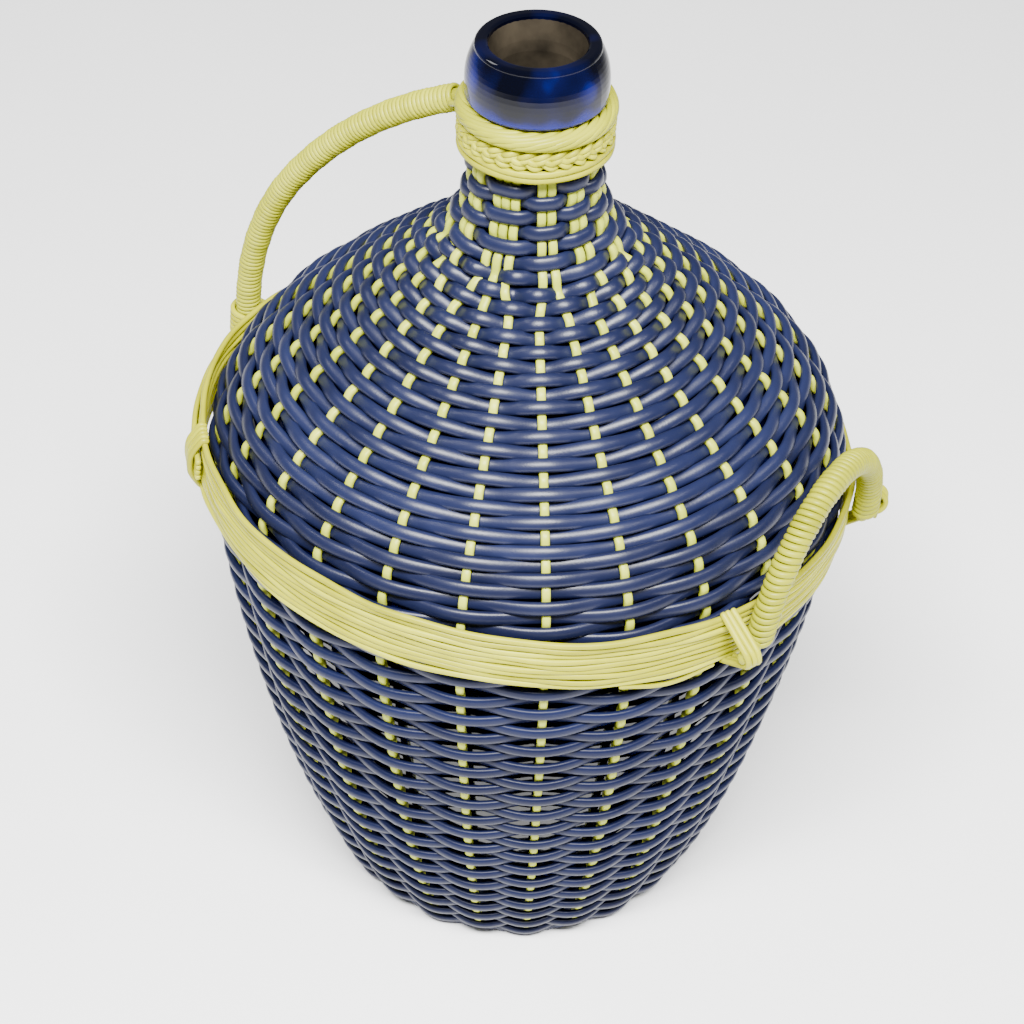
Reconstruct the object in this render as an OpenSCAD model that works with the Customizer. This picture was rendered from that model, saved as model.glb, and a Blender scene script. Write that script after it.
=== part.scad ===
// Cane-covered glass carboy (demijohn): a blown glass bottle inside a woven
// cover of plastic cane, with a carrying handle from neck to waist and a side
// handle hinged in its lashings. Millimetres, +Z up, origin on the axis at the
// underside of the woven foot, carrying handle towards -X, side handle to +X.

/* [Bottle] */
// Height from the foot to the rim of the mouth
total_h = 485; // [480:1:492]
// Radius of the bore for the stopper
bore_r = 18.5; // [17:0.5:19]
// Thickness of the glass in the body
glass_wall = 3.5; // [3:0.5:4.5]
// Radius of the glass neck under the collar
neck_glass_r = 22; // [21.5:0.5:22]
// Widest radius of the thick lip
lip_r = 32; // [31:0.5:33]

/* [Cane] */
// Width of the blue weaving cane, an oval strip that lies flat on the cover
cane_w = 6.2; // [5.6:0.1:6.2]
// Thickness of the blue weaving cane
cane_t = 3.6; // [3.2:0.1:3.6]
// Width of the yellow upright stakes
stake_w = 4.4; // [3.8:0.1:4.8]
// Thickness of the yellow upright stakes
stake_t = 3.4; // [3:0.1:3.4]
// Diameter of the thin yellow strand of band and bindings
strand_d = 3; // [2.6:0.1:3.1]
// Number of upright stakes, odd so that one strand alternates
stake_count = 25; // [21:2:27]
// Spacing of the rows below the band, along the surface
lower_pitch = 7.1; // [6.9:0.1:7.1]
// Spacing of the rows above the band, along the surface
upper_pitch = 6.4; // [6.4:0.1:6.7]

/* [Waist band] */
// Height of the band's middle on the axis
band_z = 260; // [256:1:264]
// How far the band's plane leans, in degrees
band_tilt = 5; // [0:0.5:6]
// Strands in the band, side by side
band_strands = 9; // [7:2:9]
// Radius of the band's strands
band_r = 159; // [158.9:0.1:161]

/* [Handles] */
// Outer radius of a bound handle
grip_r = 6.5; // [6:0.1:7]
// Radius of a handle's core
core_r = 4; // [3.5:0.1:4.5]
// Radius of the side handle's half ring
side_ring_r = 57; // [52:1:60]
// Length of each turned foot of the side handle
side_foot = 20; // [16:1:24]

/* [Hidden] */
$fn = 48;

// colours
blue = [0.10, 0.14, 0.42];
yellow = [0.86, 0.84, 0.35];
cobalt = [0.03, 0.05, 0.28];

// ---- outline of the woven cover, from the foot to the collar ----
foot_r = 99;
waist_r = 157;
waist_h = 253;
shoulder_at = [86, 354];
neck_cover_r = 32.5;
collar_h = 434;
curve_steps = 28;

function bezier(a, b, c, d, t) =
    a * pow(1 - t, 3) + b * 3 * t * pow(1 - t, 2) + c * 3 * t * t * (1 - t) + d * t * t * t;
function curve(a, b, c, d, first) =
    [for (i = [first : curve_steps]) bezier(a, b, c, d, i / curve_steps)];
outline = concat(
    curve([foot_r, 0], [125, 52], [150, 165], [waist_r, waist_h], 0),
    curve([waist_r, waist_h], [161, 299], [126, 319], shoulder_at, 1),
    curve(shoulder_at, [53, 382], [32, 388], [neck_cover_r, collar_h], 1));

// distance along the outline to each of its points
run = [for (i = 0, s = 0; i < len(outline);
    i = i + 1, s = s + (i < len(outline) ? norm(outline[i] - outline[i - 1]) : 0)) s];
r_table = [for (i = [0 : len(outline) - 1]) [run[i], outline[i][0]]];
z_table = [for (i = [0 : len(outline) - 1]) [run[i], outline[i][1]]];
s_table = [for (i = [0 : len(outline) - 1]) [outline[i][1], run[i]]];
cover_run = run[len(run) - 1];
function run_at_z(z) = lookup(z, s_table);
function heading(s) = atan2(lookup(s + 2, z_table) - lookup(s - 2, z_table),
    lookup(s + 2, r_table) - lookup(s - 2, r_table));
// point of the cover at distance s along it and depth d under its surface
function under(s, d) = [lookup(s, r_table) - d * sin(heading(s)),
    lookup(s, z_table) + d * cos(heading(s))];

// ---- depths of the layers ----
row_gap = 0.1;
stake_depth = cane_t + row_gap;
inner_depth = stake_depth + stake_t + row_gap;
glass_depth = inner_depth + cane_t + 0.5;
base_t = cane_t + stake_t + 1.2;
glass_floor = base_t + 0.3;
lower_groups = 6;
rows_per_lower_group = 6;
lower_top = run_at_z(band_z - 14);
lower_first = lower_top - lower_pitch * (lower_groups * rows_per_lower_group - 1);
upper_first = lower_top + (lower_pitch + upper_pitch) / 2;
shoulder_groups = 5;
rows_per_group = 5;
neck_first = shoulder_groups * rows_per_group;
neck_count = floor((cover_run - upper_first - cane_w * 0.7) / upper_pitch) - neck_first + 1;

// ---- bottle ----
lip_h = 28;
lip_z = total_h - lip_h;
mouth_r = bore_r + 3.3;
rim_r = 28;
bore_low = 396;
flare_z = total_h - 16;
glass_top_run = run_at_z(392);
glass_low_run = run_at_z(26);
glass_steps = 44;
heel_r = 10;
heel_in = 9;

function glass_side(extra) = [for (i = [0 : glass_steps])
    under(glass_low_run + (glass_top_run - glass_low_run) * i / glass_steps,
        glass_depth + extra)];
function clear_neck(points, r) = [for (p = points) if (p[0] > r) p];
function arc(centre, r, from, to, steps) =
    [for (i = [0 : steps]) centre + r * [cos(from + (to - from) * i / steps),
        sin(from + (to - from) * i / steps)]];

module glass_bottle() {
    outer = clear_neck(glass_side(0), neck_glass_r + 1.5);
    inner = clear_neck(glass_side(glass_wall), bore_r + 1.5);
    base_r = outer[0][0] - heel_in;
    inner_base = inner[0][0] - heel_in;
    color(cobalt)
        rotate_extrude($fn = 96)
            polygon(concat(
                [[0, glass_floor + 6]],
                [[40, glass_floor + 3]],
                arc([base_r - heel_r, glass_floor + heel_r], heel_r, -90, -20, 6),
                outer,
                [[neck_glass_r, bore_low + 4], [neck_glass_r, lip_z + 1]],
                [[lip_r - 3.2, lip_z + 1]],
                arc([lip_r - 3.2, lip_z + 4.2], 3.2, -80, -20, 4),
                [for (i = [0 : 8]) bezier([lip_r, lip_z + 8], [lip_r + 0.4, lip_z + 16],
                    [rim_r + 2.4, lip_z + 21], [rim_r, total_h - 2.2], i / 8)],
                arc([rim_r - 2.2, total_h - 2.2], 2.2, 10, 90, 5),
                arc([mouth_r + 1.6, total_h - 1.6], 1.6, 90, 180, 4),
                [[bore_r + 0.8, flare_z + 5], [bore_r, flare_z], [bore_r, bore_low]],
                [for (i = [len(inner) - 1 : -1 : 0]) inner[i]],
                arc([inner_base - heel_r, glass_floor + glass_wall + heel_r + 1],
                    heel_r, -20, -90, 6),
                [[40, glass_floor + glass_wall + 4], [0, glass_floor + glass_wall + 7]]));
}

// ---- woven foot and base ----
module ring_of_cane(r, z, d) {
    rotate_extrude($fn = 96)
        translate([r, z])
            circle(d = d, $fn = 24);
}

foot_w = 9;
foot_h = 7;
// its rounded outer edge stays clear of the lowest row
foot_clear = 5.4;
module foot_ring() {
    color(blue)
        rotate_extrude($fn = 96)
            polygon(concat(
                arc([foot_r - foot_clear, foot_h / 2], foot_h / 2, -90, 90, 8),
                arc([foot_r - foot_w - 3.5, foot_h / 2], foot_h / 2, 90, 270, 8)));
}

base_inner = 18;
base_outer = foot_r - foot_w - 8;
base_pitch = cane_w + 0.4;
base_rows = floor((base_outer - base_inner) / base_pitch);
module base_weavers() {
    color(blue)
        for (i = [0 : base_rows - 1])
            flat_ring([base_inner + (i + 0.5) * base_pitch, 1 + cane_t / 2], 0);
}

base_stick_count = 12;
module base_sticks() {
    color(yellow)
        for (i = [0 : base_stick_count - 1])
            rotate([0, 0, i * 360 / base_stick_count])
                translate([base_inner - 2, 0, base_t - stake_t / 2])
                    rotate([0, 90, 0])
                        cylinder(d = stake_t, h = base_outer + 3 - base_inner);
}

module base_centre() {
    color(yellow)
        translate([0, 0, 1])
            cylinder(r = base_inner - 2.5, h = base_t - 1);
}

// ---- upright stakes ----
stake_low = 12;
stake_top = run_at_z(collar_h) - 1;
stake_steps = 28;
stake_from = 1.8;
// the hollow bend of the neck takes closer steps than the sides
neck_run = run_at_z(shoulder_at[1]);
neck_steps = 16;
stake_runs = concat(
    [for (i = [0 : stake_steps - 1]) stake_low + (neck_run - stake_low) * i / stake_steps],
    [for (i = [0 : neck_steps]) neck_run + (stake_top - neck_run) * i / neck_steps]);
module side_stakes() {
    inner = [for (s = stake_runs) under(s, stake_depth + stake_t)];
    outer = [for (i = [len(stake_runs) - 1 : -1 : 0]) under(stake_runs[i], stake_depth)];
    color(yellow)
        for (i = [0 : stake_count - 1])
            rotate([90, 0, stake_from + i * 360 / stake_count])
                linear_extrude(stake_w, center = true)
                    polygon(concat(inner, outer));
}

// ---- rows of weaving ----
// ring of oval cane, its flat side turned by an angle in the section
module flat_ring(centre, turn) {
    half = (cane_w - cane_t) / 2;
    rotate_extrude($fn = 96)
        translate(centre)
            rotate(turn)
                polygon(concat(
                    arc([half, 0], cane_t / 2, -90, 90, 12),
                    arc([-half, 0], cane_t / 2, 90, 270, 12)));
}

// rows lie in turn outside and inside the stakes, standing for the weave
module row_at(s, inside) {
    flat_ring(under(s, (inside ? inner_depth : 0) + cane_t / 2), heading(s));
}

module lower_rows(group) {
    color(blue)
        for (i = [0 : rows_per_lower_group - 1])
            row_at(lower_first + (group * rows_per_lower_group + i) * lower_pitch, i % 2 == 1);
}

module shoulder_rows(group) {
    color(blue)
        for (i = [group * rows_per_group : (group + 1) * rows_per_group - 1])
            row_at(upper_first + i * upper_pitch, i % 2 == 1);
}

// the neck has no room inside the stakes, so its rows are all outside, a little proud
neck_lift = 0.15;
module neck_rows() {
    color(blue)
        for (i = [neck_first : neck_first + neck_count - 1]) {
            s = upper_first + i * upper_pitch;
            flat_ring(under(s, cane_t / 2 - neck_lift), heading(s));
        }
}

// ---- everything on the band shares its leaning plane ----
lean_dir = 53;
module on_band() {
    translate([0, 0, band_z])
        rotate([0, 0, lean_dir])
            rotate([0, band_tilt, 0])
                rotate([0, 0, -lean_dir])
                    children();
}

module waist_band() {
    half = (band_strands - 1) / 2;
    color(yellow)
        on_band()
            for (i = [-half : half])
                ring_of_cane(band_r, i * (strand_d + 0.02), strand_d);
}

band_half = band_strands * (strand_d + 0.02) / 2;
module arc_of_strand(r, z, d, from, to) {
    rotate([0, 0, from])
        rotate_extrude(angle = to - from, $fn = 96)
            translate([r, z])
                circle(d = d, $fn = 24);
}

module band_loose_end() {
    color(yellow)
        on_band()
            arc_of_strand(band_r - 0.5, -band_half - strand_d * 0.7, strand_d * 0.8, -42, -26);
}

// ---- collar ----
collar_r = 36.3;
collar_strand_d = 3.2;
braid_h = 8;
wrap_h = 8.5;
braid_low = collar_h + 2 * collar_strand_d + 0.4;
wrap_low = braid_low + braid_h + 0.3;

module collar_lower_strands() {
    color(yellow)
        for (i = [0 : 1])
            ring_of_cane(neck_cover_r + 1.2, collar_h + collar_strand_d * (i + 0.5), collar_strand_d);
}

module rounded_ring(r_in, r_out, low, high) {
    h = high - low;
    edge = min(h, r_out - r_in) * 0.45;
    rotate_extrude($fn = 96)
        polygon(concat([[r_in, low]],
            arc([r_out - edge, low + edge], edge, -90, 0, 6),
            arc([r_out - edge, high - edge], edge, 0, 90, 6),
            [[r_in, high]]));
}

module collar_braid() {
    color(yellow)
        rounded_ring(neck_glass_r + 5, collar_r, braid_low, braid_low + braid_h);
}

module collar_wrap() {
    color(yellow)
        rounded_ring(neck_glass_r + 0.3, collar_r, wrap_low, wrap_low + wrap_h);
}

// ---- carrying handle: two arcs in the XZ plane, from collar to band ----
// the arcs meet where the handle heads 4 down to 3 out
carry_r1 = 250;
carry_r2 = 165;
carry_meet = [0.8, 0.6];
carry_mid = 53.1301;
carry_from = 25.1;
carry_tuck = 1.5;
carry_end = [band_r + strand_d / 2 + grip_r + 0.4, band_z + 8];
carry_centre2 = carry_end - [carry_r2, 0];
carry_centre1 = carry_centre2 - (carry_r1 - carry_r2) * carry_meet;
carry_drop = band_half + 2;

module carry_path(from_r, to_r, first) {
    rotate([90, 0, 180]) {
        translate(carry_centre1)
            rotate([0, 0, 90 - carry_mid])
                rotate_extrude(angle = carry_mid - first, $fn = 180)
                    translate([carry_r1, 0])
                        tube_section(from_r, to_r);
        translate(carry_centre2)
            rotate_extrude(angle = 90 - carry_mid, $fn = 180)
                translate([carry_r2, 0])
                    tube_section(from_r, to_r);
        translate(carry_end)
            rotate([90, 0, 0])
                linear_extrude(carry_drop)
                    tube_section(from_r, to_r);
    }
}

module tube_section(from_r, to_r) {
    difference() {
        circle(r = to_r, $fn = 32);
        if (from_r > 0)
            circle(r = from_r, $fn = 32);
    }
}

// the core runs a little further, into the collar's braid
module carry_handle_core() {
    color(yellow)
        carry_path(0, core_r, carry_from - carry_tuck);
}

module carry_handle_binding() {
    color(yellow)
        carry_path(core_r + 0.02, grip_r, carry_from);
}

// one strand bent into a staple: a run across, two bends and two legs inward
module staple(half, depth, bend) {
    reach = depth - bend;
    for (side = [-1, 1]) {
        translate([0, 0, side * half])
            rotate([0, 90, 0])
                cylinder(d = strand_d, h = reach, $fn = 24);
        translate([reach, 0, side * (half - bend)])
            rotate([90, 0, 0])
                rotate([0, 0, side > 0 ? 0 : -90])
                    rotate_extrude(angle = 90, $fn = 48)
                        translate([bend, 0])
                            circle(d = strand_d, $fn = 24);
    }
    if (half > bend)
        translate([depth, 0, bend - half])
            cylinder(d = strand_d, h = 2 * (half - bend), $fn = 24);
}

// staples side by side, lying over the band's face
module lashing(count, depth, bend) {
    for (i = [0 : count - 1])
        translate([0, (i - (count - 1) / 2) * (strand_d + 0.05), 0])
            staple(band_half + strand_d / 2 + 0.2, depth, bend);
}

lash_back = band_r - 0.6;
foot_turns = 5;
module carry_handle_foot_lashing() {
    hoop = grip_r + strand_d / 2 + 0.8;
    back = band_r + strand_d / 2 + 0.4;
    color(yellow)
        on_band()
            for (i = [0 : foot_turns - 1])
                translate([-back, 0, (i - (foot_turns - 1) / 2) * (strand_d + 0.05)])
                    rotate([90, 0, 180])
                        staple(hoop, carry_end[0] - back + hoop, hoop);
}

tail_from = 187;
tail_to = 226;
module carry_handle_tail_bundle() {
    color(yellow)
        on_band()
            for (i = [-1.5 : 1.5])
                arc_of_strand(band_r + strand_d + 0.1, i * (strand_d + 0.02), strand_d,
                    tail_from, tail_to);
}

module carry_handle_tail_lashing() {
    color(yellow)
        on_band()
            rotate([0, 0, tail_to - 4])
                translate([lash_back, 0, 0])
                    lashing(5, strand_d * 2 + 0.8, 3.5);
}

// ---- side handle, hinged on its two turned feet ----
side_gap = 0.9;
side_x = sqrt(pow(band_r + strand_d / 2 + grip_r + side_gap, 2) - pow(side_ring_r, 2));
foot_core_r = 3;

module side_ring(from_r, to_r) {
    translate([side_x, 0, 0])
        rotate([90, 0, 90])
            rotate_extrude(angle = 180, $fn = 96)
                translate([side_ring_r, 0])
                    tube_section(from_r, to_r);
}

module side_handle_core() {
    color(yellow)
        on_band() {
            side_ring(0, core_r);
            for (side = [-1, 1])
                translate([side_x, side * (side_ring_r - core_r * 0.9), 0])
                    rotate([side * -90, 0, 0])
                        cylinder(r = foot_core_r, h = side_foot, $fn = 32);
        }
}

module side_handle_binding() {
    color(yellow)
        on_band()
            difference() {
                side_ring(core_r + 0.02, grip_r);
                for (side = [-1, 1])
                    translate([side_x, side * (side_ring_r - core_r * 0.9), 0])
                        rotate([side * -90, 0, 0])
                            cylinder(r = foot_core_r + 0.02, h = side_foot, $fn = 32);
            }
}

// the feet lie this far round the band from the +X plane
foot_turn = atan2(side_ring_r + grip_r + 6.5, side_x);
foot_over = norm([side_x, side_ring_r + side_foot]) + foot_core_r + strand_d / 2;
module side_lashing(side) {
    color(yellow)
        on_band()
            rotate([0, 0, side * foot_turn])
                translate([lash_back, 0, 0])
                    lashing(3, foot_over - lash_back, 8);
}

glass_bottle();
foot_ring();
base_weavers();
base_sticks();
base_centre();
side_stakes();
lower_rows(0);  // lower_rows_1
lower_rows(1);  // lower_rows_2
lower_rows(2);  // lower_rows_3
lower_rows(3);  // lower_rows_4
lower_rows(4);  // lower_rows_5
lower_rows(5);  // lower_rows_6
shoulder_rows(0);  // shoulder_rows_1
shoulder_rows(1);  // shoulder_rows_2
shoulder_rows(2);  // shoulder_rows_3
shoulder_rows(3);  // shoulder_rows_4
shoulder_rows(4);  // shoulder_rows_5
neck_rows();
waist_band();
band_loose_end();
collar_lower_strands();
collar_braid();
collar_wrap();
carry_handle_core();
carry_handle_binding();
carry_handle_foot_lashing();
carry_handle_tail_bundle();
carry_handle_tail_lashing();
side_handle_core();
side_handle_binding();
side_lashing(-1);  // side_handle_front_lashing
side_lashing(1);  // side_handle_back_lashing
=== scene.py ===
"""Looks of the cane-covered glass carboy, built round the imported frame.

The woven cover is one long oval strand that winds up the bottle, over and under
25 stakes. Band, collar, handles and lashings are tubes of thinner strand.
Sizes are in millimetres, and meshes are made in metres. The glass material, the
lights and the camera are given in metres.
"""

import math

import bpy
import numpy as np
from mathutils import Matrix, Vector


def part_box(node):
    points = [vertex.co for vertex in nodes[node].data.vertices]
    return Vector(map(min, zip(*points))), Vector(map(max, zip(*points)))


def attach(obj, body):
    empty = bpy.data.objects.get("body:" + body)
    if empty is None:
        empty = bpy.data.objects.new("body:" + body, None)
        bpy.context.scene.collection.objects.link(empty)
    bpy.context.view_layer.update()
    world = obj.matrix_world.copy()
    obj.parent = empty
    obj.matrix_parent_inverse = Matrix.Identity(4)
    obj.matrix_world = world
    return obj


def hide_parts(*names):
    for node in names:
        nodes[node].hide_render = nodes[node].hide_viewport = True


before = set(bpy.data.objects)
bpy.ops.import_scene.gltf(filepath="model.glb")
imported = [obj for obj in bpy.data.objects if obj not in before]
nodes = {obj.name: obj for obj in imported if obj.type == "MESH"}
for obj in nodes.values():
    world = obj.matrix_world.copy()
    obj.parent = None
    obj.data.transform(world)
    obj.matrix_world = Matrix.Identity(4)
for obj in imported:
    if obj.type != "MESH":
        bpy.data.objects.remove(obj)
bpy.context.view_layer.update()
MM = 0.001
rng = np.random.default_rng(11)


def node_box(name):
    """Lowest and highest corner of a CAD node, in millimetres."""
    low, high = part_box(name)
    return np.array(low) / MM, np.array(high) / MM


# ---- driving sizes, the same as in the CAD ----
CANE_W, CANE_T = 6.2, 3.6
STAKE_W, STAKE_T = 4.4, 3.4
STRAND_D = 3.0
STAKES = 25
STEP = 360 / STAKES
FIRST_STAKE = 1.8 - 4 * STEP
ROW_GAP = 0.1
BAND_Z, BAND_TILT, LEAN_DIR, BAND_R = 260.0, 5.0, 53.0, 159.0
BAND_STRANDS = 9
GRIP_R = 6.5

# ---- outline of the cover, from the foot to the collar: (distance from the axis, height) ----
OUTLINE = [
    [(99, 0), (125, 52), (150, 165), (157, 253)],
    [(157, 253), (161, 299), (126, 319), (86, 354)],
    [(86, 354), (53, 382), (32, 388), (32.5, 434)],
]
CURVE_STEPS = 120
SLOPE_STEP = 2


def bezier(points, t):
    """Points of a cubic curve with four control points."""
    a, b, c, d = (np.array(p, float) for p in points)
    t = t[:, None]
    return a * (1 - t) ** 3 + 3 * b * t * (1 - t) ** 2 + 3 * c * t * t * (1 - t) + d * t**3


def make_outline():
    """Points of the outline, and the distance along it of each."""
    t = np.linspace(0, 1, CURVE_STEPS + 1)
    parts = [bezier(c, t)[0 if i == 0 else 1 :] for i, c in enumerate(OUTLINE)]
    points = np.concatenate(parts)
    run = np.r_[0, np.cumsum(np.hypot(*np.diff(points, axis=0).T))]
    return points, run


PROFILE, RUN = make_outline()


def on_profile(s):
    return np.interp(s, RUN, PROFILE[:, 0]), np.interp(s, RUN, PROFILE[:, 1])


def run_at_z(z):
    return float(np.interp(z, PROFILE[:, 1], RUN))


def cover(s, depth, azimuth):
    """Points and outward normals at run s and a depth under the cover, azimuth in degrees."""
    s, depth, azimuth = np.broadcast_arrays(s, depth, azimuth)
    r0, z0 = on_profile(s - SLOPE_STEP)
    r1, z1 = on_profile(s + SLOPE_STEP)
    long = np.hypot(r1 - r0, z1 - z0)
    nr, nz = (z1 - z0) / long, -(r1 - r0) / long
    r, z = on_profile(s)
    r, z = r - depth * nr, z - depth * nz
    a = np.radians(azimuth)
    points = np.stack([r * np.cos(a), r * np.sin(a), z], 1)
    normals = np.stack([nr * np.cos(a), nr * np.sin(a), nz], 1)
    return points, normals


# ---- rows and depths, as in the frame ----
MID_DEPTH = CANE_T + ROW_GAP + STAKE_T / 2
SWING = CANE_T / 2 + ROW_GAP + STAKE_T / 2
STAKE_RIPPLE, NECK_RIPPLE = 0.95, 1.2
LOWER_ROWS, LOWER_PITCH, UPPER_PITCH = 36, 7.1, 6.4
BELOW_BAND = 14
LOWER_TOP = run_at_z(BAND_Z - BELOW_BAND)
LOWER_FIRST = LOWER_TOP - LOWER_PITCH * (LOWER_ROWS - 1)
UPPER_FIRST = LOWER_TOP + (LOWER_PITCH + UPPER_PITCH) / 2
UPPER_ROWS = (RUN[-1] - CANE_W * 0.6 - UPPER_FIRST) / UPPER_PITCH
NECK_ROWS = 6


def run_of_row(n):
    """Distance along the outline of the winding strand at row number n."""
    knots = [0, LOWER_ROWS - 1, LOWER_ROWS, LOWER_ROWS + UPPER_ROWS]
    runs = [LOWER_FIRST, LOWER_TOP, UPPER_FIRST, UPPER_FIRST + UPPER_ROWS * UPPER_PITCH]
    return np.interp(n, knots, runs)


# ---- mesh building ----
def unit(v):
    return v / np.maximum(np.linalg.norm(v, axis=1, keepdims=True), 1e-9)


def wobble(count, size, waves, closed=True):
    """A smooth random line of count values, about size high, with so many waves."""
    t = np.arange(count) / (count if closed else max(count - 1, 1)) * 2 * math.pi
    line = np.zeros(count)
    for k in range(1, 5):
        line += np.sin(t * round(waves * k / 2.5 + 0.5) + rng.uniform(0, 6.28)) / k**0.5
    return line * size / 2


# rounded ends of a strand: (distance from the end in thicknesses, scale of the section)
TIPS = ((-0.36, 0.45), (-0.22, 0.8))


class Bundle:
    """Gathers tubes of strand into one mesh."""

    def __init__(self):
        self.verts, self.faces, self.along, self.strand = [], [], [], []
        self.count = 0

    def tube(self, path, normals, width, thick, closed=False, sides=12, square=2.3):
        """A tube along path, width across and thick along the normals; an open one has round ends."""
        path = np.array(path, float)
        normals = np.broadcast_to(np.array(normals, float), path.shape).copy()
        if closed:
            tangent = unit(np.roll(path, -1, 0) - np.roll(path, 1, 0))
        else:
            tangent = unit(np.gradient(path, axis=0))
        scale = np.ones(len(path))
        if not closed:
            head = [path[0] + tangent[0] * thick * k for k, _ in TIPS]
            tail = [path[-1] - tangent[-1] * thick * k for k, _ in reversed(TIPS)]
            path = np.concatenate([head, path, tail])
            tangent = np.concatenate([tangent[:1]] * 2 + [tangent] + [tangent[-1:]] * 2)
            normals = np.concatenate([normals[:1]] * 2 + [normals] + [normals[-1:]] * 2)
            scale = np.r_[[k for _, k in TIPS], scale, [k for _, k in reversed(TIPS)]]
        out = unit(normals - (normals * tangent).sum(1, keepdims=True) * tangent)
        side = np.cross(tangent, out)
        angle = np.arange(sides) / sides * 2 * math.pi
        c, s = np.cos(angle), np.sin(angle)
        x = np.sign(c) * np.abs(c) ** (2 / square) * width / 2
        y = np.sign(s) * np.abs(s) ** (2 / square) * thick / 2
        ring = (
            path[:, None]
            + side[:, None] * (x[None, :, None] * scale[:, None, None])
            + out[:, None] * (y[None, :, None] * scale[:, None, None])
        )
        rings = len(path)
        last = rings if closed else rings - 1
        i = np.arange(last)[:, None] * sides
        up = (np.arange(last)[:, None] + 1) % rings * sides
        j = np.arange(sides)[None]
        k = (j + 1) % sides
        quads = np.stack([i + j, i + k, up + k, up + j], 2).reshape(-1, 4) + self.count
        self.faces += quads.tolist()
        if not closed:
            self.faces.append((np.arange(sides)[::-1] + self.count).tolist())
            self.faces.append((np.arange(sides) + self.count + (rings - 1) * sides).tolist())
        gaps = np.linalg.norm(np.diff(path, axis=0), axis=1)
        self.along.append(np.repeat(np.r_[0, np.cumsum(gaps)] * MM, sides))
        self.strand.append(np.full(rings * sides, rng.uniform(0, 1)))
        self.verts.append(ring.reshape(-1, 3))
        self.count += rings * sides

    def build(self, name, material, body, replaced, slot):
        """Makes the piece, rides it on its body and hides the CAD nodes that it replaces."""
        mesh = bpy.data.meshes.new(name)
        verts = np.concatenate(self.verts) * MM
        mesh.from_pydata(verts.tolist(), [], self.faces)
        for label, values in (("along", self.along), ("strand", self.strand)):
            layer = mesh.attributes.new(label, "FLOAT", "POINT")
            layer.data.foreach_set("value", np.concatenate(values).astype(np.float32))
        mesh.polygons.foreach_set("use_smooth", np.ones(len(mesh.polygons), bool))
        mesh.materials.append(material)
        mesh.update()
        piece = bpy.data.objects.new(name, mesh)
        bpy.context.scene.collection.objects.link(piece)
        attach(piece, body)
        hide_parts(*replaced)


# ---- materials ----
def new_material(name):
    material = bpy.data.materials.new(name)
    material.use_nodes = True
    tree = material.node_tree
    tree.nodes.clear()
    output = tree.nodes.new("ShaderNodeOutputMaterial")
    shader = tree.nodes.new("ShaderNodeBsdfPrincipled")
    tree.links.new(shader.outputs["BSDF"], output.inputs["Surface"])
    return material, tree, shader


def noise(tree, scale, detail, vector):
    made = tree.nodes.new("ShaderNodeTexNoise")
    made.inputs["Scale"].default_value = scale
    made.inputs["Detail"].default_value = detail
    tree.links.new(vector, made.inputs["Vector"])
    return made.outputs["Fac"]


def ramp(tree, factor, stops):
    made = tree.nodes.new("ShaderNodeValToRGB")
    while len(made.color_ramp.elements) < len(stops):
        made.color_ramp.elements.new(0.5)
    for element, (at, colour) in zip(made.color_ramp.elements, stops):
        element.position = at
        element.color = (*colour, 1)
    tree.links.new(factor, made.inputs["Fac"])
    return made.outputs["Color"]


def maths(tree, operation, *values):
    made = tree.nodes.new("ShaderNodeMath")
    made.operation = operation
    for i, value in enumerate(values):
        if isinstance(value, (int, float)):
            made.inputs[i].default_value = value
        else:
            tree.links.new(value, made.inputs[i])
    return made.outputs[0]


def object_coordinates(tree):
    return tree.nodes.new("ShaderNodeTexCoord").outputs["Object"]


def attribute(tree, name):
    made = tree.nodes.new("ShaderNodeAttribute")
    made.attribute_name = name
    return made.outputs["Fac"]


def add_bump(tree, shader, height, distance, strength):
    bump = tree.nodes.new("ShaderNodeBump")
    bump.inputs["Distance"].default_value = distance
    bump.inputs["Strength"].default_value = strength
    tree.links.new(height, bump.inputs["Height"])
    tree.links.new(bump.outputs["Normal"], shader.inputs["Normal"])


CLOUD_SCALE, FINE_SCALE = 55.0, 900.0
DRIFT_SCALE, STRAND_OFFSET = 14.0, 37.0
CLOUD_SHARE, STRAND_SHARE, DRIFT_SHARE = 0.35, 0.25, 0.4


def plastic_cane(name, dark, plain, light, rough, gloss):
    """Extruded plastic: each strand a little different, cloudy along its length, finely rough."""
    material, tree, shader = new_material(name)
    place = object_coordinates(tree)
    cloud = noise(tree, CLOUD_SCALE, 4.0, place)
    fine = noise(tree, FINE_SCALE, 2.0, place)
    own = attribute(tree, "strand")
    along = attribute(tree, "along")
    lengthwise = tree.nodes.new("ShaderNodeCombineXYZ")
    tree.links.new(maths(tree, "MULTIPLY", along, DRIFT_SCALE), lengthwise.inputs["X"])
    tree.links.new(maths(tree, "MULTIPLY", own, STRAND_OFFSET), lengthwise.inputs["Y"])
    drift = noise(tree, 1.0, 3.0, lengthwise.outputs["Vector"])
    shared = maths(tree, "MULTIPLY", cloud, CLOUD_SHARE)
    mix = maths(tree, "ADD", shared, maths(tree, "MULTIPLY", own, STRAND_SHARE))
    mix = maths(tree, "ADD", mix, maths(tree, "MULTIPLY", drift, DRIFT_SHARE))
    colour = ramp(tree, mix, [(0.25, dark), (0.5, plain), (0.78, light)])
    tree.links.new(colour, shader.inputs["Base Color"])
    worn = maths(tree, "ADD", maths(tree, "MULTIPLY", cloud, 0.16), rough - 0.08)
    tree.links.new(worn, shader.inputs["Roughness"])
    shader.inputs["IOR"].default_value = 1.5
    shader.inputs["Specular IOR Level"].default_value = gloss
    add_bump(tree, shader, fine, 0.0002, 0.25)
    return material


# in metres: what lies nearer the axis is the bore; height of the bluer line at the lip's foot, a painted
# line of light
BORE_EDGE = 0.0216
LIP_FOOT = 0.459
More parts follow.
